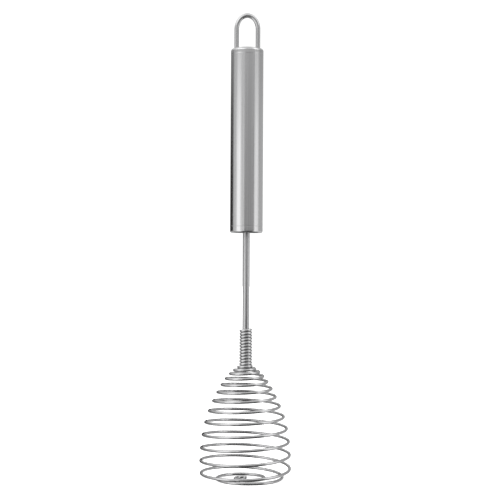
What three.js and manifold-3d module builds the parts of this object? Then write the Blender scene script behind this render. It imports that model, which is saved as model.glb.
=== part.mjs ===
// Spiral whisk: a hollow steel grip with a hanging loop, a rod shaft, and one wire wound into a beehive coil.
// Millimetres, +Z up. The whisk stands on the flat underside of its coil with its axis on Z,
// and its hanging loop lies in the XZ plane.
import * as THREE from 'three';
import { mergeVertices } from 'three/addons/utils/BufferGeometryUtils.js';
import Module from 'manifold-3d';

// Room left between pieces that fit into each other
const clearance = 0.3;

// Coil wire
const wireDiameter = 1.4;
const footFlatDepth = 0.5;
const collarTurns = 11.5;
const collarTurnGap = 0.43;
const bellyRadius = 26;
const bellyPitch = 7.71;

// Turns of the coil's head, from the collar down, by how far apart they are
const closeTurns = 2;
const openingTurns = 8;
const bellyTurns = 2.6;
const settlingTurns = 1.4;
const footTurns = 1.3;

// Turns in which the head's radius grows from the collar to the belly, and winds in to the free end
const flareTurns = 12;
const flareEaseIn = 1;
const flareEaseOut = 4;
const windInTurns = 2.5;
const windInEase = 0.6;
const freeEndRadius = 2.4;

// Shaft
const shaftDiameter = 4;
const shaftBare = 55;
const shaftInGrip = 14;
const shaftAboveFlare = 2;
const shaftChamfer = 0.4;

// Grip: tube and end caps
const gripDiameter = 19;
const tubeLength = 100;
const tubeWall = 0.6;
const spigotLength = 5;
const spigotWall = 0.6;
const capThickness = 1;
const capEdgeRadius = 1.6;
const baseCapHeight = 4;
const topCapSkirt = 2;
const domeRadius = 36;

// Hanging loop
const loopWireDiameter = 2.7;
const loopLegSpacing = 12.44;
const loopLegLength = 10.5;
const loopArchHeight = 8;
const loopTail = 6;

// Facets
const gripSegments = 48;
const shaftSegments = 24;
const arcSteps = 5;
const loopSteps = 48;
const loopSides = 12;
const collarStepsPerTurn = 12;
const headStepsPerTurn = 24;
const wireSides = 6;

// Sizes that follow
const wireRadius = wireDiameter / 2;
const shaftRadius = shaftDiameter / 2;
const gripRadius = gripDiameter / 2;
const spigotRadius = gripRadius - tubeWall - clearance;
const spigotBore = spigotRadius - spigotWall;
const loopWireRadius = loopWireDiameter / 2;
const collarRadius = shaftRadius + clearance + wireRadius;
const collarPitch = wireDiameter + collarTurnGap;

// The wire's stretches from the top of the collar to its free end, each with an even change of pitch
const stretches = [
  { turns: collarTurns, pitchAtStart: collarPitch, pitchAtEnd: collarPitch },
  { turns: closeTurns, pitchAtStart: collarPitch, pitchAtEnd: collarPitch },
  { turns: openingTurns, pitchAtStart: collarPitch, pitchAtEnd: bellyPitch },
  { turns: bellyTurns, pitchAtStart: bellyPitch, pitchAtEnd: bellyPitch },
  { turns: settlingTurns, pitchAtStart: bellyPitch, pitchAtEnd: 0 },
  { turns: footTurns, pitchAtStart: 0, pitchAtEnd: 0 },
];
const wireTurns = stretches.reduce((sum, stretch) => sum + stretch.turns, 0);
const headTurns = wireTurns - collarTurns;

// How far the wire has come down after a number of turns
function dropAt(turn) {
  let drop = 0;
  let start = 0;
  for (const { turns, pitchAtStart, pitchAtEnd } of stretches) {
    const along = Math.min(Math.max(turn - start, 0), turns);
    drop += pitchAtStart * along + ((pitchAtEnd - pitchAtStart) * along * along) / (2 * turns);
    start += turns;
  }
  return drop;
}

// A ramp from 0 to 1 over a number of turns, at a steady rate between its eased ends
function easedRamp(turn, turns, easeIn, easeOut) {
  const rate = 1 / (turns - easeIn / 2 - easeOut / 2);
  const left = turns - turn;
  if (turn <= 0) return 0;
  if (left <= 0) return 1;
  if (turn < easeIn) return (rate * turn * turn) / (2 * easeIn);
  if (left < easeOut) return 1 - (rate * left * left) / (2 * easeOut);
  return rate * (turn - easeIn / 2);
}

function wireRadiusAt(turn) {
  const flare = easedRamp(turn - collarTurns, flareTurns, flareEaseIn, flareEaseOut);
  const windIn = easedRamp(turn - (wireTurns - windInTurns), windInTurns, windInEase, 0);
  return collarRadius + (bellyRadius - collarRadius) * flare - (bellyRadius - freeEndRadius) * windIn;
}

// Heights, from the ground up
const footZ = wireRadius - footFlatDepth;
const wireTopZ = footZ + dropAt(wireTurns);
const collarBottomZ = wireTopZ - dropAt(collarTurns);
const gripBottomZ = wireTopZ + wireRadius + shaftBare;
const tubeBottomZ = gripBottomZ + baseCapHeight;
const tubeTopZ = tubeBottomZ + tubeLength;

// The dome meets the cap's rounded edge at this slope
const domeSlope = Math.asin((gripRadius - capEdgeRadius) / (domeRadius - capEdgeRadius));
const domeCentreZ = tubeTopZ + topCapSkirt - (domeRadius - capEdgeRadius) * Math.cos(domeSlope);
const domeTopZ = domeCentreZ + domeRadius;

// Closed solids for the booleans
const wasm = await Module();
wasm.setup();

function toSolid(geometry) {
  const bare = geometry.clone();
  bare.deleteAttribute('normal');
  bare.deleteAttribute('uv');
  const welded = mergeVertices(bare);
  const corners = welded.index.array;
  const triangles = [];
  for (let i = 0; i < corners.length; i += 3) {
    const [a, b, c] = corners.slice(i, i + 3);
    if (a !== b && b !== c && c !== a) triangles.push(a, b, c);
  }
  const mesh = new wasm.Mesh({
    numProp: 3,
    vertProperties: new Float32Array(welded.attributes.position.array),
    triVerts: new Uint32Array(triangles),
  });
  return new wasm.Manifold(mesh);
}

function toGeometry(solid) {
  const mesh = solid.getMesh();
  const geometry = new THREE.BufferGeometry();
  geometry.setAttribute('position', new THREE.BufferAttribute(mesh.vertProperties, 3));
  geometry.setIndex(new THREE.BufferAttribute(mesh.triVerts, 1));
  geometry.computeVertexNormals();
  return geometry;
}

// A profile of radius and height, turned round the Z axis
function turned(profile, segments) {
  const points = profile.map(([radius, height]) => new THREE.Vector2(radius, height));
  return new THREE.LatheGeometry(points, segments).rotateX(Math.PI / 2);
}

// Points of an arc in the profile plane, with angles from the outward direction
function arc(radius, height, size, from, to) {
  const points = [];
  for (let step = 0; step <= arcSteps; step++) {
    const angle = from + ((to - from) * step) / arcSteps;
    points.push([radius + size * Math.cos(angle), height + size * Math.sin(angle)]);
  }
  return points;
}

function handleTube() {
  const bore = gripRadius - tubeWall;
  return turned(
    [
      [bore, tubeBottomZ],
      [gripRadius, tubeBottomZ],
      [gripRadius, tubeTopZ],
      [bore, tubeTopZ],
      [bore, tubeBottomZ],
    ],
    gripSegments,
  );
}

function baseCap() {
  const hole = shaftRadius + clearance;
  const floorZ = gripBottomZ + capThickness;
  const spigotTopZ = tubeBottomZ + spigotLength;
  const edge = arc(
    gripRadius - capEdgeRadius,
    gripBottomZ + capEdgeRadius,
    capEdgeRadius,
    -Math.PI / 2,
    0,
  );
  return turned(
    [
      [hole, gripBottomZ],
      ...edge,
      [gripRadius, tubeBottomZ],
      [spigotRadius, tubeBottomZ],
      [spigotRadius, spigotTopZ],
      [spigotBore, spigotTopZ],
      [spigotBore, floorZ],
      [hole, floorZ],
      [hole, gripBottomZ],
    ],
    gripSegments,
  );
}

function topCap() {
  const spigotBottomZ = tubeTopZ - spigotLength;
  const edge = arc(
    gripRadius - capEdgeRadius,
    tubeTopZ + topCapSkirt,
    capEdgeRadius,
    0,
    Math.PI / 2 - domeSlope,
  );
  const dome = arc(0, domeCentreZ, domeRadius, Math.PI / 2 - domeSlope, Math.PI / 2);
  const ceilingSlope = Math.asin(spigotBore / (domeRadius - capThickness));
  const ceiling = arc(
    0,
    domeCentreZ,
    domeRadius - capThickness,
    Math.PI / 2,
    Math.PI / 2 - ceilingSlope,
  );
  const shell = turned(
    [
      ...ceiling,
      [spigotBore, spigotBottomZ],
      [spigotRadius, spigotBottomZ],
      [spigotRadius, tubeTopZ],
      [gripRadius, tubeTopZ],
      ...edge,
      ...dome.slice(1),
    ],
    gripSegments,
  );
  const holeRadius = loopWireRadius + clearance;
  let cap = toSolid(shell);
  for (const side of [-1, 1]) {
    const drill = new THREE.CylinderGeometry(holeRadius, holeRadius, 2 * loopTail, loopSides);
    drill.rotateX(Math.PI / 2);
    drill.translate((side * loopLegSpacing) / 2, 0, domeTopZ);
    cap = cap.subtract(toSolid(drill));
  }
  return toGeometry(cap);
}

// The round top of the loop, half an ellipse from leg to leg
class LoopArch extends THREE.Curve {
  constructor(halfWidth, rise, springZ) {
    super();
    this.halfWidth = halfWidth;
    this.rise = rise;
    this.springZ = springZ;
  }

  getPoint(t, target = new THREE.Vector3()) {
    const angle = Math.PI * (1 - t);
    return target.set(this.halfWidth * Math.cos(angle), 0, this.springZ + this.rise * Math.sin(angle));
  }
}

function hangingLoop() {
  const halfWidth = loopLegSpacing / 2;
  const springZ = domeTopZ + loopLegLength;
  const tailZ = domeTopZ - loopTail;
  const route = new THREE.CurvePath();
  route.add(new THREE.LineCurve3(
    new THREE.Vector3(-halfWidth, 0, tailZ),
    new THREE.Vector3(-halfWidth, 0, springZ),
  ));
  route.add(new LoopArch(halfWidth, loopArchHeight, springZ));
  route.add(new THREE.LineCurve3(
    new THREE.Vector3(halfWidth, 0, springZ),
    new THREE.Vector3(halfWidth, 0, tailZ),
  ));
  const section = new THREE.Shape().absarc(0, 0, loopWireRadius, 0, 2 * Math.PI);
  return new THREE.ExtrudeGeometry(section, {
    extrudePath: route,
    steps: loopSteps,
    curveSegments: loopSides / 2,
  });
}

function shaft() {
  const bottomZ = collarBottomZ + shaftAboveFlare;
  const topZ = gripBottomZ + shaftInGrip;
  return turned(
    [
      [0, bottomZ],
      [shaftRadius - shaftChamfer, bottomZ],
      [shaftRadius, bottomZ + shaftChamfer],
      [shaftRadius, topZ - shaftChamfer],
      [shaftRadius - shaftChamfer, topZ],
      [0, topZ],
    ],
    shaftSegments,
  );
}

// A point on the middle of the coil's wire. Its turns are right-handed: they rise anticlockwise seen from above.
function wirePoint(turn) {
  const angle = Math.PI - 2 * Math.PI * (turn - collarTurns);
  const radius = wireRadiusAt(turn);
  return new THREE.Vector3(
    radius * Math.cos(angle),
    radius * Math.sin(angle),
    wireTopZ - dropAt(turn),
  );
}

// The turn at each ring of the wire, with longer steps on the narrow collar
function wireRings() {
  const collarSteps = Math.round(collarTurns * collarStepsPerTurn);
  const headSteps = Math.round(headTurns * headStepsPerTurn);
  const rings = [];
  for (let step = 0; step < collarSteps; step++) rings.push((collarTurns * step) / collarSteps);
  for (let step = 0; step <= headSteps; step++) rings.push(collarTurns + (headTurns * step) / headSteps);
  return rings;
}

// A round wire swept through its rings, with its flat ends closed
function sweptWire(centres) {
  const corners = [];
  const triangles = [];
  const last = centres.length - 1;
  centres.forEach((centre, ring) => {
    const before = centres[Math.max(ring - 1, 0)];
    const after = centres[Math.min(ring + 1, last)];
    const along = after.clone().sub(before).normalize();
    const out = new THREE.Vector3(centre.x, centre.y, 0);
    out.addScaledVector(along, -out.dot(along)).normalize();
    const across = along.clone().cross(out);
    for (let side = 0; side < wireSides; side++) {
      const angle = (2 * Math.PI * side) / wireSides;
      const corner = centre.clone();
      corner.addScaledVector(out, wireRadius * Math.cos(angle));
      corner.addScaledVector(across, wireRadius * Math.sin(angle));
      corners.push(corner.x, corner.y, corner.z);
    }
  });
  for (let ring = 0; ring < last; ring++) {
    for (let side = 0; side < wireSides; side++) {
      const next = (side + 1) % wireSides;
      const here = ring * wireSides;
      const there = here + wireSides;
      triangles.push(here + side, here + next, there + next);
      triangles.push(here + side, there + next, there + side);
    }
  }
  const end = last * wireSides;
  for (let side = 1; side < wireSides - 1; side++) {
    triangles.push(0, side + 1, side);
    triangles.push(end, end + side, end + side + 1);
  }
  const geometry = new THREE.BufferGeometry();
  geometry.setAttribute('position', new THREE.Float32BufferAttribute(corners, 3));
  geometry.setIndex(triangles);
  return geometry;
}

// The least gap between the wire and itself, measured on points at least half a turn apart
function leastWireGap() {
  const points = [];
  const steps = Math.round(wireTurns * headStepsPerTurn);
  for (let step = 0; step <= steps; step++) points.push(wirePoint((wireTurns * step) / steps));
  const apart = Math.round(headStepsPerTurn / 2);
  let least = Infinity;
  for (let i = 0; i < points.length; i++) {
    for (let j = i + apart; j < points.length; j++) {
      least = Math.min(least, points[i].distanceTo(points[j]));
    }
  }
  return least - wireDiameter;
}

// The coil, with its underside ground flat where it stands
function whiskCoil() {
  const wire = toSolid(sweptWire(wireRings().map(wirePoint)));
  const reach = 4 * bellyRadius;
  const ground = new THREE.BoxGeometry(reach, reach, reach);
  ground.translate(0, 0, -reach / 2);
  console.log(`whisk_coil: least gap between its turns ${leastWireGap().toFixed(2)} mm`);
  return toGeometry(wire.subtract(toSolid(ground)));
}

const whisk = new THREE.Group();

function addPiece(name, geometry, color, roughness) {
  const material = new THREE.MeshStandardMaterial({ color, roughness, metalness: 1 });
  const piece = new THREE.Mesh(geometry, material);
  piece.name = name;
  whisk.add(piece);
}

const brushedSteel = 0xb4b4b4;
const polishedSteel = 0xc6c6c6;

addPiece('handle_tube', handleTube(), brushedSteel, 0.38);
addPiece('top_cap', topCap(), brushedSteel, 0.32);
addPiece('base_cap', baseCap(), brushedSteel, 0.32);
addPiece('hanging_loop', hangingLoop(), polishedSteel, 0.2);
addPiece('shaft', shaft(), polishedSteel, 0.2);
addPiece('whisk_coil', whiskCoil(), polishedSteel, 0.18);

export default whisk;
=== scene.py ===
import math
import bmesh
import bpy
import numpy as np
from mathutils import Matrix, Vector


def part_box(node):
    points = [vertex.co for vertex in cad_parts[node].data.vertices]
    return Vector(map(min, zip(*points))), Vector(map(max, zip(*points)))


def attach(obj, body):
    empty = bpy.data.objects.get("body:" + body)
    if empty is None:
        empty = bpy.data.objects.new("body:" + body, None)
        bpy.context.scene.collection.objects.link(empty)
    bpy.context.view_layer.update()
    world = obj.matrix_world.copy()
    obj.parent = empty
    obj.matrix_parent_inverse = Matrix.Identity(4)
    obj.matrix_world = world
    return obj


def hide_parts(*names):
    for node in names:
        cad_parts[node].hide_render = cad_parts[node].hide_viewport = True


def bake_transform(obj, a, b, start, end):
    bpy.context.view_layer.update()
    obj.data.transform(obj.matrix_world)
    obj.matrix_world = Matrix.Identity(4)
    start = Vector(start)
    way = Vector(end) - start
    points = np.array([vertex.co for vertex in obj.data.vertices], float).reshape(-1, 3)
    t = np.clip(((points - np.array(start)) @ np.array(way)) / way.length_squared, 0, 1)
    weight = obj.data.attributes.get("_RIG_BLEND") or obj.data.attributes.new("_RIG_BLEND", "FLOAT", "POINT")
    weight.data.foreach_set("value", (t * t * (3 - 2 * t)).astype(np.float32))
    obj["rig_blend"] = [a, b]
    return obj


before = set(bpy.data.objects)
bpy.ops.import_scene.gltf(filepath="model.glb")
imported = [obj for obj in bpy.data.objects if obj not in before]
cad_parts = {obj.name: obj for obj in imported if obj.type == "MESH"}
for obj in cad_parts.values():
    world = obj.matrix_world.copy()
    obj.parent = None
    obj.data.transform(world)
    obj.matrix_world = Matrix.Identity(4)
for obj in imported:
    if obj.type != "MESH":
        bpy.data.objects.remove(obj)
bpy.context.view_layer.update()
mm = 0.001
quarter = math.pi / 2
print("frame loaded:", ", ".join(sorted(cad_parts)))


# Shader maths: one wrapped socket, so that sums on sockets read as plain maths
class Shade:
    def __init__(self, tree, socket=None):
        self.tree = tree
        self.socket = socket

    def node(self, kind, settings=None, inputs=None):
        made = self.tree.nodes.new("ShaderNode" + kind)
        for name, value in (settings or {}).items():
            setattr(made, name, value)
        for name, value in (inputs or {}).items():
            if isinstance(value, Shade):
                self.tree.links.new(value.socket, made.inputs[name])
            else:
                made.inputs[name].default_value = value
        shown = [output for output in made.outputs if output.enabled]
        return Shade(self.tree, shown[0] if shown else None)

    def pick(self, name):
        return Shade(self.tree, self.socket.node.outputs[name])

    def math(self, operation, first, second=0):
        return self.node("Math", {"operation": operation}, {0: first, 1: second})

    def __add__(self, other):
        return self.math("ADD", self, other)

    def __radd__(self, other):
        return self.math("ADD", other, self)

    def __sub__(self, other):
        return self.math("SUBTRACT", self, other)

    def __rsub__(self, other):
        return self.math("SUBTRACT", other, self)

    def __mul__(self, other):
        return self.math("MULTIPLY", self, other)

    def __rmul__(self, other):
        return self.math("MULTIPLY", other, self)


def smooth(value, low, high):
    settings = {"interpolation_type": "SMOOTHSTEP"}
    return value.node("MapRange", settings, {"Value": value, "From Min": low, "From Max": high})


# Noise with its own scale on each axis, shifted by a seed so that no two patterns are alike
def grain(place, scale, detail, seed):
    mapping = {"Vector": place, "Location": (seed, seed, seed), "Scale": scale}
    moved = place.node("Mapping", None, mapping)
    return place.node("TexNoise", None, {"Vector": moved, "Scale": 1, "Detail": detail}).pick("Fac")


def blankMaterial(name):
    material = bpy.data.materials.new(name)
    material.use_nodes = True
    material.node_tree.nodes.clear()
    return material, Shade(material.node_tree)


# What the steel finishes share: detail and seed of each noise, and the band that it mostly keeps to
steelNoise = {
    "lines": (3, 0),
    "streaks": (2, 11),
    "clouds": (3, 23),
    "wireLines": (3, 3),
    "wireStreaks": (2, 19),
    "wireClouds": (3, 37),
    "band": (0.3, 0.7),
    "middle": 0.5,
}
mixSockets = {"share": 0, "first": 6, "second": 7}  # the Mix node's sockets for colours


def mixColours(shade, share, first, second):
    inputs = {mixSockets["share"]: share, mixSockets["first"]: first, mixSockets["second"]: second}
    return shade.node("Mix", {"data_type": "RGBA"}, inputs)


def steelShader(shade, finish, lines, streaks, clouds):
    middle = steelNoise["middle"]
    tone = smooth(0.5 * lines + 0.5 * streaks, *steelNoise["band"])
    colour = mixColours(shade, tone, finish["dark"], finish["light"])
    spread = finish["roughnessSpread"]
    roughness = finish["roughness"] + spread * (lines - middle) + spread * (clouds - middle)
    heightMap = {"Height": lines, "Strength": finish["bump"], "Distance": finish["scratchDepth"]}
    bump = shade.node("Bump", None, heightMap)
    steel = shade.node("BsdfPrincipled", None, {
        "Base Color": colour,
        "Metallic": 1,
        "Roughness": roughness,
        "Anisotropic": finish["anisotropic"],
        "Normal": bump,
    })
    shade.node("OutputMaterial", None, {"Surface": steel})


# Satin steel, brushed along its length
brushedGripFinish = {
    "dark": (0.53, 0.53, 0.535, 1),
    "light": (0.67, 0.67, 0.675, 1),
    "roughness": 0.2,
    "roughnessSpread": 0.08,
    "anisotropic": 0.3,
    "bump": 0.25,
    "scratchDepth": 0.02 * mm,
    "lineScale": (7000, 7000, 18),
    "streakScale": (1500, 1500, 5),
    "cloudScale": (90, 90, 40),
}

# The caps are ground together with the tube, so the same lines run on over them
capFinish = dict(brushedGripFinish, roughness=0.19)

# Bright rod with faint lines from the drawing die
shaftFinish = {
    "dark": (0.46, 0.46, 0.465, 1),
    "light": (0.6, 0.6, 0.605, 1),
    "roughness": 0.36,
    "roughnessSpread": 0.08,
    "anisotropic": 0.3,
    "bump": 0.15,
    "scratchDepth": 0.01 * mm,
    "lineScale": (6000, 6000, 25),
    "streakScale": (1800, 1800, 12),
    "cloudScale": (260, 260, 120),
}


# Steel with fine lines along Z, from the brush or the die
def linedSteel(name, finish):
    material, shade = blankMaterial(name)
    place = shade.node("TexCoord").pick("Object")
    lines = grain(place, finish["lineScale"], *steelNoise["lines"])
    streaks = grain(place, finish["streakScale"], *steelNoise["streaks"])
    clouds = grain(place, finish["cloudScale"], *steelNoise["clouds"])
    steelShader(shade, finish, lines, streaks, clouds)
    return material


# Wires: the scales of their lines and streaks count in wire diameters
loopFinish = {
    "dark": (0.48, 0.48, 0.485, 1),
    "light": (0.61, 0.61, 0.615, 1),
    "roughness": 0.25,
    "roughnessSpread": 0.08,
    "anisotropic": 0,
    "bump": 0.15,
    "scratchDepth": 0.01 * mm,
    "lineScale": (9, 9, 0.35),
    "streakScale": (3, 3, 0.15),
    "cloudScale": (300, 300, 300),
}

coilFinish = {
    "dark": (0.45, 0.45, 0.455, 1),
    "light": (0.58, 0.58, 0.585, 1),
    "roughness": 0.07,
    "roughnessSpread": 0.08,
    "anisotropic": 0,
    "bump": 0.12,
    "scratchDepth": 0.008 * mm,
    "lineScale": (7, 7, 0.3),
    "streakScale": (2.5, 2.5, 0.1),
    "cloudScale": (320, 320, 320),
}


# Drawn wire: its lines follow the wire, by the attribute that woundWire gives each point
def wireSteel(name, finish):
    material, shade = blankMaterial(name)
    place = shade.node("TexCoord").pick("Object")
    along = shade.node("Attribute", {"attribute_name": "wireGrain"}).pick("Vector")
    lines = grain(along, finish["lineScale"], *steelNoise["wireLines"])
    streaks = grain(along, finish["streakScale"], *steelNoise["wireStreaks"])
    clouds = grain(place, finish["cloudScale"], *steelNoise["wireClouds"])
    steelShader(shade, finish, lines, streaks, clouds)
    return material


# Modelling: how close counts as met, and up to which angle a crease is shaded smooth
meshCare = {
    "near": 0.01 * mm,
    "merge": 0.002 * mm,
    "turnedSmooth": math.radians(35),
    "wireSmooth": math.radians(60),
}


def deselectAll():
    bpy.ops.object.select_all(action="DESELECT")


def focus(piece):
    deselectAll()
    piece.select_set(True)
    bpy.context.view_layer.objects.active = piece


def named(name):
    piece = bpy.context.object
    piece.name = name
    piece.data.name = name
    return piece


# Rings extruded one from the other, as radius and height, like a shape turned on a lathe
def turned(name, profile, segments):
    deselectAll()
    radius, height = profile[0]
    bpy.ops.mesh.primitive_circle_add(vertices=segments, radius=radius, location=(0, 0, height))
    piece = named(name)
    bpy.ops.object.transform_apply(location=True, rotation=True, scale=True)
    bpy.ops.object.mode_set(mode="EDIT")
    bpy.ops.mesh.select_all(action="SELECT")
    for nextRadius, nextHeight in profile[1:]:
        rise = (0, 0, nextHeight - height)
        bpy.ops.mesh.extrude_edges_move(TRANSFORM_OT_translate={"value": rise})
        grow = nextRadius / radius
        bpy.ops.transform.resize(value=(grow, grow, 1), center_override=(0, 0, nextHeight))
        radius, height = nextRadius, nextHeight
    bpy.ops.object.mode_set(mode="OBJECT")
    return piece


def arc(radius, height, size, start, stop, steps):
    points = []
    for step in range(steps + 1):
        angle = start + (stop - start) * step / steps
        points.append((radius + size * math.cos(angle), height + size * math.sin(angle)))
    return points


# Selects the edges of a ring by its radius and height, and rounds them
def roundRing(piece, radius, height, size, segments):
    focus(piece)
    near = meshCare["near"]
    bpy.ops.object.mode_set(mode="EDIT")
    bpy.ops.mesh.select_mode(type="EDGE")
    bpy.ops.mesh.select_all(action="DESELECT")
    shape = bmesh.from_edit_mesh(piece.data)
    for edge in shape.edges:
        ends = [math.hypot(v.co.x, v.co.y) for v in edge.verts]
        level = all(abs(v.co.z - height) < near for v in edge.verts)
        if level and all(abs(end - radius) < near for end in ends):
            edge.select_set(True)
    bmesh.update_edit_mesh(piece.data)
    bpy.ops.mesh.bevel(offset=size, segments=segments, affect="EDGES", profile=0.5)
    bpy.ops.object.mode_set(mode="OBJECT")


# Merges what meets, turns the normals outwards and shades the round stretches smooth
def tidyMesh(piece):
    focus(piece)
    bpy.ops.object.mode_set(mode="EDIT")
    bpy.ops.mesh.select_all(action="SELECT")
    bpy.ops.mesh.remove_doubles(threshold=meshCare["merge"])
    bpy.ops.mesh.normals_make_consistent(inside=False)
    bpy.ops.object.mode_set(mode="OBJECT")
    bpy.ops.object.shade_smooth_by_angle(angle=meshCare["turnedSmooth"])


# Fills the open rings at a wire's ends or a dome's poles
def closeEnds(piece):
    focus(piece)
    bpy.ops.object.mode_set(mode="EDIT")
    bpy.ops.mesh.select_all(action="SELECT")
    bpy.ops.mesh.fill_holes(sides=0)
    bpy.ops.mesh.normals_make_consistent(inside=False)
    bpy.ops.object.mode_set(mode="OBJECT")


def dress(piece, material, slot, *nodes):
    piece.data.materials.clear()
    piece.data.materials.append(material)
    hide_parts(*nodes)


wireEnds = (0.72, 0.9)  # share of the radius at the last two points, as shears and a polish leave them


# A round wire swept along a list of points, with its ends eased
def woundWire(name, points, radius, sides, twist):
    curve = bpy.data.curves.new(name, "CURVE")
    curve.dimensions = "3D"
    curve.twist_mode = twist
    curve.bevel_depth = radius
    curve.bevel_resolution = (sides - 4) // 2  # a resolution of n gives 2n + 4 sides
    spline = curve.splines.new("POLY")
    spline.points.add(len(points) - 1)
    for place, point in zip(spline.points, points):
        place.co = (*point, 1)
    for step, share in enumerate(wireEnds):
        spline.points[step].radius = share
        spline.points[-1 - step].radius = share
    piece = bpy.data.objects.new(name, curve)
    bpy.context.collection.objects.link(piece)
    focus(piece)
    bpy.ops.object.convert(target="MESH")
    piece = named(name)
    markGrain(piece, points, radius)
    closeEnds(piece)
    bpy.ops.object.shade_smooth_by_angle(angle=meshCare["wireSmooth"])
    return piece


# Each point of the mesh gets its place round the wire and along it, in wire diameters
def markGrain(piece, points, radius):
    sides = len(piece.data.vertices) // len(points)
    lengths = [0]
    for before, after in zip(points, points[1:]):
        lengths.append(lengths[-1] + math.dist(before, after))
    marks = piece.data.attributes.new("wireGrain", "FLOAT_VECTOR", "POINT")
    for index, mark in enumerate(marks.data):
        ring, side = divmod(index, sides)
        angle = math.tau * side / sides
        mark.vector = (math.cos(angle), math.sin(angle), lengths[ring] / (2 * radius))


# Grip: a thin tube with its sharp edges just broken
tubeLow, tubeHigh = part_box("handle_tube")
grip = {
    "radius": tubeHigh.x,
    "bottom": tubeLow.z,
    "top": tubeHigh.z,
    "wall": 0.6 * mm,
    "segments": 192,
    "rimRound": 0.05 * mm,
    "arcSteps": 3,
    "holdingRing": 0.3 * mm,
}


def makeGrip():
    radius, wall, edge = grip["radius"], grip["wall"], grip["rimRound"]
    bottom, top, hold = grip["bottom"], grip["top"], grip["holdingRing"]
    steps = grip["arcSteps"]
    profile = [
        (radius - wall, bottom),
        *arc(radius - edge, bottom + edge, edge, -quarter, 0, steps),
        (radius, bottom + hold),
        (radius, top - hold),
        *arc(radius - edge, top - edge, edge, 0, quarter, steps),
        (radius - wall, top),
        (radius - wall, bottom),
    ]
    piece = turned("gripTube", profile, grip["segments"])
    tidyMesh(piece)
    dress(piece, linedSteel("brushedGripSteel", brushedGripFinish), "brushed_grip", "handle_tube")
    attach(piece, "handle")
    print("grip tube done")


# Base cap, with the hole that takes the shaft
baseLow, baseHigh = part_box("base_cap")
baseCap = {
    "edgeRadius": 1.2 * mm,
    "hole": 2.2 * mm,
    "holeRound": 0.25 * mm,
    "holeRoundSteps": 3,
    "floor": 1 * mm,
    "spigotGap": 0.3 * mm,
    "spigotWall": 0.6 * mm,
    "segments": 192,
    "arcSteps": 10,
}


def makeBaseCap():
    bottom = baseLow.z
    radius = grip["radius"]
    edge = baseCap["edgeRadius"]
    seam = grip["rimRound"]
    steps = grip["arcSteps"]
    spigot = radius - grip["wall"] - baseCap["spigotGap"]
    bore = spigot - baseCap["spigotWall"]
    floorTop = bottom + baseCap["floor"]
    rim = arc(radius - edge, bottom + edge, edge, -quarter, 0, baseCap["arcSteps"])
    profile = [
        (baseCap["hole"], bottom),
        *rim,
        (radius, grip["bottom"] - grip["holdingRing"]),
        *arc(radius - seam, grip["bottom"] - seam, seam, 0, quarter, steps),
        (spigot, grip["bottom"]),
        (spigot, baseHigh.z),
        (bore, baseHigh.z),
        (bore, floorTop),
        (baseCap["hole"], floorTop),
        (baseCap["hole"], bottom),
    ]
    piece = turned("baseCap", profile, baseCap["segments"])
    tidyMesh(piece)
    roundRing(piece, baseCap["hole"], bottom, baseCap["holeRound"], baseCap["holeRoundSteps"])
    tidyMesh(piece)
    dress(piece, linedSteel("capSteel", capFinish), "cap_steel", "base_cap")
    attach(piece, "handle")
    print("base cap done")


# Top cap: a shallow dome with a rounded edge and two holes for the loop
topLow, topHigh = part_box("top_cap")
loopLow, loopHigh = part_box("hanging_loop")
topCap = {
    "edgeRadius": 1.6 * mm,
    "skirt": 2 * mm,
    "domeRadius": 36 * mm,
    "thickness": 1 * mm,
    "spigotGap": 0.3 * mm,
    "spigotWall": 0.6 * mm,
    "poleRadius": 0.05 * mm,
    "holeGap": 0.1 * mm,
    "holeSegments": 48,
    "drillLength": 6.4 * mm,
    "segments": 192,
    "arcSteps": 10,
    "domeSteps": 14,
}


def makeTopCap():
    radius = grip["radius"]
    edge = topCap["edgeRadius"]
    seam = grip["rimRound"]
    dome = topCap["domeRadius"]
    seat = grip["top"]
    spigot = radius - grip["wall"] - topCap["spigotGap"]
    bore = spigot - topCap["spigotWall"]
    domeCentre = topHigh.z - dome
    inner = dome - topCap["thickness"]
    slope = math.asin((radius - edge) / (dome - edge))
    pole = math.asin(topCap["poleRadius"] / dome)
    innerSlope = math.asin(bore / inner)
    domeSteps = topCap["domeSteps"]
    ceiling = arc(0, domeCentre, inner, quarter - pole, quarter - innerSlope, domeSteps)
    rim = arc(radius - edge, seat + topCap["skirt"], edge, 0, quarter - slope, topCap["arcSteps"])
    crown = arc(0, domeCentre, dome, quarter - slope, quarter - pole, domeSteps)
    profile = [
        *ceiling,
        (bore, topLow.z),
        (spigot, topLow.z),
        (spigot, seat),
        *arc(radius - seam, seat + seam, seam, -quarter, 0, grip["arcSteps"]),
        (radius, seat + grip["holdingRing"]),
        *rim,
        *crown[1:],
    ]
    piece = turned("topCap", profile, topCap["segments"])
    closeEnds(piece)
    tidyMesh(piece)
    drillLegs(piece)
    tidyMesh(piece)
    dress(piece, linedSteel("capSteel", capFinish), "cap_steel", "top_cap")
    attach(piece, "handle")
    print("top cap done")


# The two holes that the legs of the loop go through
def drillLegs(piece):
    for side in (-1, 1):
        deselectAll()
        bpy.ops.mesh.primitive_cylinder_add(
            vertices=topCap["holeSegments"], radius=hangingLoop["wire"] + topCap["holeGap"],
            depth=topCap["drillLength"], location=(side * legX, 0, topHigh.z),
        )
        drill = bpy.context.object
        focus(piece)
        cut = piece.modifiers.new("legHole", "BOOLEAN")
        cut.object = drill
        cut.operation = "DIFFERENCE"
        bpy.ops.object.modifier_apply(modifier=cut.name)
        bpy.data.objects.remove(drill)


# Hanging loop: two straight legs and half an ellipse, one thick wire
hangingLoop = {
    "wire": loopHigh.y,
    "archHeight": 8 * mm,
    "archSteps": 64,
    "legSteps": 10,
    "sides": 32,
}
legX = loopHigh.x - hangingLoop["wire"]


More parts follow.
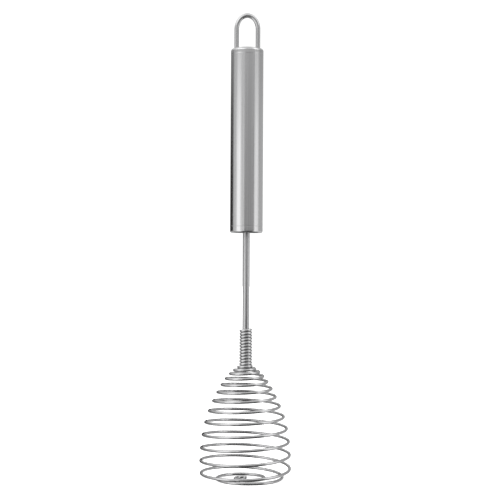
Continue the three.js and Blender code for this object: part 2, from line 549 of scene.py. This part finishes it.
def makeLoop():
    spring = loopHigh.z - hangingLoop["wire"] - hangingLoop["archHeight"]
    foot = loopLow.z
    legs = hangingLoop["legSteps"]
    points = []
    for step in range(legs):
        points.append((-legX, 0, foot + (spring - foot) * step / legs))
    for step in range(hangingLoop["archSteps"] + 1):
        angle = math.pi * (1 - step / hangingLoop["archSteps"])
        rise = hangingLoop["archHeight"] * math.sin(angle)
        points.append((legX * math.cos(angle), 0, spring + rise))
    for step in range(1, legs + 1):
        points.append((legX, 0, spring + (foot - spring) * step / legs))
    piece = woundWire("hangingLoop", points, hangingLoop["wire"], hangingLoop["sides"], "MINIMUM")
    dress(piece, wireSteel("loopSteel", loopFinish), "loop_wire", "hanging_loop")
    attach(piece, "handle")
    print("hanging loop done")


# Shaft: a bright rod with rounded ends
shaftLow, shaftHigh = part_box("shaft")
shaft = {
    "radius": shaftHigh.x,
    "bottom": shaftLow.z,
    "top": shaftHigh.z,
    "endRound": 0.4 * mm,
    "endRoundSteps": 3,
    "segments": 64,
}


def makeShaft():
    deselectAll()
    length = shaft["top"] - shaft["bottom"]
    middle = (shaft["top"] + shaft["bottom"]) / 2
    bpy.ops.mesh.primitive_cylinder_add(
        vertices=shaft["segments"], radius=shaft["radius"], depth=length, location=(0, 0, middle),
    )
    piece = named("shaftRod")
    bpy.ops.object.transform_apply(location=True, rotation=True, scale=True)
    for height in (shaft["bottom"], shaft["top"]):
        roundRing(piece, shaft["radius"], height, shaft["endRound"], shaft["endRoundSteps"])
    tidyMesh(piece)
    dress(piece, linedSteel("shaftSteel", shaftFinish), "shaft_rod", "shaft")
    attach(piece, "handle")
    print("shaft done")


# Coil: one wire, from the top of the collar to its free end in the foot
coil = {
    "wire": 0.87 * mm,
    "collarTurns": 11.5,
    "collarPitch": 1.762 * mm,
    "collarRadius": 2.95 * mm,
    "collarBottom": 67.47 * mm,
    "bellyRadius": 26 * mm,
    "freeEndRadius": 2.4 * mm,
    "closeTurns": 2,
    "openingTurns": 8,
    "bellyTurns": 2.6,
    "settlingTurns": 1.4,
    "footTurns": 1.3,
    "flareTurns": 12,
    "flareEaseIn": 1,
    "flareEaseOut": 4,
    "windInTurns": 2.5,
    "windInEase": 0.6,
    "leanBack": 0.04,
    "leanRight": 0.014,
    "leanFrom": 11,
    "leanFull": 12.5,
    "leanFades": 13,
    "leanEnds": 14.6,
    "collarSteps": 40,
    "headSteps": 96,
    "sides": 16,
}
coilHeadTurns = sum(
    coil[name] for name in ("closeTurns", "openingTurns", "bellyTurns", "settlingTurns", "footTurns")
)
coilTurns = coil["collarTurns"] + coilHeadTurns
# the belly's pitch is what brings the foot down to the ground
headDrop = coil["collarBottom"] - coil["wire"]
closeDrop = coil["collarPitch"] * (coil["closeTurns"] + coil["openingTurns"] / 2)
bellyShare = coil["openingTurns"] / 2 + coil["bellyTurns"] + coil["settlingTurns"] / 2
bellyPitch = (headDrop - closeDrop) / bellyShare


# How far the wire has come down, with the pitch changing steadily along each stretch
def coilDrop(turn):
    collar = coil["collarPitch"]
    stretches = (
        (coil["collarTurns"] + coil["closeTurns"], collar, collar),
        (coil["openingTurns"], collar, bellyPitch),
        (coil["bellyTurns"], bellyPitch, bellyPitch),
        (coil["settlingTurns"], bellyPitch, 0),
        (coil["footTurns"], 0, 0),
    )
    drop = 0
    start = 0
    for turns, pitchAtStart, pitchAtEnd in stretches:
        along = min(max(turn - start, 0), turns)
        drop += pitchAtStart * along + (pitchAtEnd - pitchAtStart) * along ** 2 / (2 * turns)
        start += turns
    return drop


# From 0 to 1 over a number of turns, at a steady rate between its eased ends
def easedRamp(turn, turns, easeIn, easeOut):
    rate = 1 / (turns - easeIn / 2 - easeOut / 2)
    left = turns - turn
    if turn <= 0:
        return 0
    if left <= 0:
        return 1
    if turn < easeIn:
        return rate * turn ** 2 / (2 * easeIn)
    if left < easeOut:
        return 1 - rate * left ** 2 / (2 * easeOut)
    return rate * (turn - easeIn / 2)


def coilRadius(turn):
    flareTurn = turn - coil["collarTurns"]
    windInTurn = turn - coilTurns + coil["windInTurns"]
    flare = easedRamp(flareTurn, coil["flareTurns"], coil["flareEaseIn"], coil["flareEaseOut"])
    windIn = easedRamp(windInTurn, coil["windInTurns"], coil["windInEase"], 0)
    grown = coil["collarRadius"] + (coil["bellyRadius"] - coil["collarRadius"]) * flare
    return grown - (coil["bellyRadius"] - coil["freeEndRadius"]) * windIn


# From 0 to 1 between two values, level at both
def eased(value, low, high):
    share = min(max((value - low) / (high - low), 0), 1)
    return share * share * (3 - 2 * share)


# The lowest turns sit a little askew, lower at the front and the right
def coilLean(turn, x, y):
    below = turn - coil["collarTurns"]
    grows = eased(below, coil["leanFrom"], coil["leanFull"])
    fades = eased(below, coil["leanFades"], coil["leanEnds"])
    return grows * (1 - fades) * (coil["leanBack"] * y - coil["leanRight"] * x)


def coilPoint(turn):
    angle = math.pi - math.tau * (turn - coil["collarTurns"])
    radius = coilRadius(turn)
    x, y = radius * math.cos(angle), radius * math.sin(angle)
    height = coil["wire"] + coilDrop(coilTurns) - coilDrop(turn) + coilLean(turn, x, y)
    return (x, y, max(height, coil["wire"]))


def coilTurnList():
    collarCount = round(coil["collarTurns"] * coil["collarSteps"])
    headCount = round(coilHeadTurns * coil["headSteps"])
    turns = [coil["collarTurns"] * step / collarCount for step in range(collarCount)]
    turns += [coil["collarTurns"] + coilHeadTurns * step / headCount for step in range(headCount + 1)]
    return turns


def makeCoil():
    turns = coilTurnList()
    points = [coilPoint(turn) for turn in turns]
    piece = woundWire("whiskCoil", points, coil["wire"], coil["sides"], "Z_UP")
    dress(piece, wireSteel("coilSteel", coilFinish), "coil_wire", "whisk_coil")
    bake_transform(piece, "handle", "coil", start=(0, 0, coil["collarBottom"]), end=(0, 0, coil["wire"]))
    shareThePress(piece, turns, points)
    print("coil done:", len(piece.data.polygons), "faces")


# Pressed, the wide and steep turns give most, and the wire stays round
def shareThePress(piece, turns, points):
    gives = [0]
    for turn, before, after in zip(turns, points, points[1:]):
        fall = max(before[2] - after[2], 0) if turn >= coil["collarTurns"] else 0
        gives.append(gives[-1] + fall * math.hypot(after[0], after[1]) ** 2)
    sides = len(piece.data.vertices) // len(turns)
    weights = piece.data.attributes["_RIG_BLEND"]
    for index, weight in enumerate(weights.data):
        weight.value = gives[index // sides] / gives[-1]


makeGrip()
makeBaseCap()
makeTopCap()
makeLoop()
makeShaft()
makeCoil()


# Stage: a pale floor that the steel doesn't mirror
paleFloor = {
    "radius": 4000 * mm,
    "segments": 96,
    "colour": (0.9, 0.9, 0.9, 1),
    "glow": 0.8,
}
white = (1, 1, 1, 1)


def makeFloor():
    deselectAll()
    bpy.ops.mesh.primitive_circle_add(
        vertices=paleFloor["segments"], radius=paleFloor["radius"],
        fill_type="NGON", location=(0, 0, 0),
    )
    floor = named("floor")
    material, shade = blankMaterial("paleFloor")
    paper = shade.node("BsdfPrincipled", None, {
        "Base Color": paleFloor["colour"],
        "Roughness": 1,
        "Specular IOR Level": 0,
        "Emission Color": white,
        "Emission Strength": paleFloor["glow"],
    })
    shade.node("OutputMaterial", None, {"Surface": paper})
    floor.data.materials.append(material)
    floor.visible_glossy = False
    print("floor done")


# Light: soft panels in a dark room, with pale walls and an overhead light above them
studio = {
    "room": 0.03,
    "wall": 0.44,
    "wallEdge": (4, 11),
    "overhead": 1.5,
    "overheadEdge": (14, 26),
    "backdrop": 1.1,
    # bearings from the camera, to the right, and elevations, both in degrees
    "panels": {
        "left softbox": {"bearing": (-77, -39), "elevation": (-46, 90), "soft": 6, "light": 1.5},
        "left fill": {"bearing": (-108, -79), "elevation": (-46, 90), "soft": 6, "light": 0.72},
        "left paper": {"bearing": (-200, -112), "elevation": (-40, -8), "soft": 3, "light": 0.55},
        "near paper": {"bearing": (-37, -25), "elevation": (-22, 90), "soft": 3, "light": 0.82},
        "paper edge": {"bearing": (-24, -16), "elevation": (-22, 90), "soft": 2, "light": 1},
        "camera side": {"bearing": (-15, 52), "elevation": (-7, 90), "soft": 4, "light": 0.38},
        "low front": {"bearing": (-38, 53), "elevation": (-60, -14), "soft": 6, "light": 0.1},
        "right softbox": {"bearing": (55, 92), "elevation": (-44, 90), "soft": 5, "light": 1.2},
        "right fill": {"bearing": (93, 166), "elevation": (-42, 90), "soft": 6, "light": 0.56},
        "right paper": {"bearing": (93, 200), "elevation": (-38, -10), "soft": 4, "light": 0.2},
        "left floor": {"bearing": (-118, -44), "elevation": (-100, -60), "soft": 8, "light": 0.12},
        "right floor": {"bearing": (58, 118), "elevation": (-100, -60), "soft": 8, "light": 0.08},
    },
    "wallPanels": {
        "front wall": {"bearing": (-100, 90), "elevation": (-90, 90), "soft": 10, "light": 0.18},
    },
    "overheadPanels": {
        "left softbox top": {"bearing": (-77, -30), "elevation": (0, 60), "soft": 6, "light": 0.2},
        "right softbox top": {"bearing": (55, 92), "elevation": (0, 60), "soft": 6, "light": 0.3},
        "dark corner": {"bearing": (-200, -100), "elevation": (0, 55), "soft": 8, "light": -0.6},
        "dark back": {"bearing": (100, 200), "elevation": (0, 55), "soft": 8, "light": -0.85},
        "dark front": {"bearing": (-14, 52), "elevation": (0, 36), "soft": 6, "light": -1.27},
        "dark ceiling": {"bearing": (-200, 200), "elevation": (66, 200), "soft": 8, "light": -0.9},
    },
}


# 1 between two edges and 0 outside them
def between(value, edges, soft):
    low, high = edges
    return smooth(value, low - soft, low + soft) - smooth(value, high - soft, high + soft)


# The light of a set of panels over an even base
def panelLight(bearing, elevation, base, panels):
    light = base
    for panel in panels.values():
        across = between(bearing, panel["bearing"], panel["soft"])
        upright = between(elevation, panel["elevation"], panel["soft"])
        light = light + panel["light"] * across * upright
    return light


def makeLight():
    world = bpy.data.worlds.new("studio")
    bpy.context.scene.world = world
    world.use_nodes = True
    world.node_tree.nodes.clear()
    shade = Shade(world.node_tree)
    parts = shade.node("SeparateXYZ", None, {"Vector": shade.node("TexCoord").pick("Generated")})
    degrees = math.degrees(1)
    bearing = degrees * shade.math("ARCTAN2", parts.pick("X"), -1 * parts.pick("Y"))
    elevation = degrees * shade.math("ARCSINE", parts.pick("Z"))
    level = panelLight(bearing, elevation, studio["room"], studio["panels"])
    overhead = panelLight(bearing, elevation, studio["overhead"], studio["overheadPanels"])
    onWall = smooth(elevation, *studio["wallEdge"])
    above = smooth(elevation, *studio["overheadEdge"])
    wall = panelLight(bearing, elevation, studio["wall"], studio["wallPanels"])
    upper = (1 - above) * wall + above * overhead
    around = (1 - onWall) * level + onWall * upper
    seen = shade.node("LightPath").pick("Is Camera Ray")
    strength = seen * studio["backdrop"] + (1 - seen) * around
    glow = shade.node("Background", None, {"Color": white, "Strength": strength})
    shade.node("OutputWorld", None, {"Surface": glow})
    print("light done")


# Camera: level with the shaft, a step away
camera = {
    "place": (2.2 * mm, -760 * mm, 134.2 * mm),
    "lens": 93.6,
    "sensor": 36,
    "roll": -0.3,
}


def makeCamera():
    bpy.ops.object.camera_add(location=camera["place"])
    made = bpy.context.object
    made.rotation_euler = (quarter, math.radians(camera["roll"]), 0)
    made.data.lens = camera["lens"]
    made.data.sensor_width = camera["sensor"]
    bpy.context.scene.camera = made
    bpy.context.scene.view_settings.view_transform = "Standard"
    print("camera done")


makeFloor()
makeLight()
makeCamera()
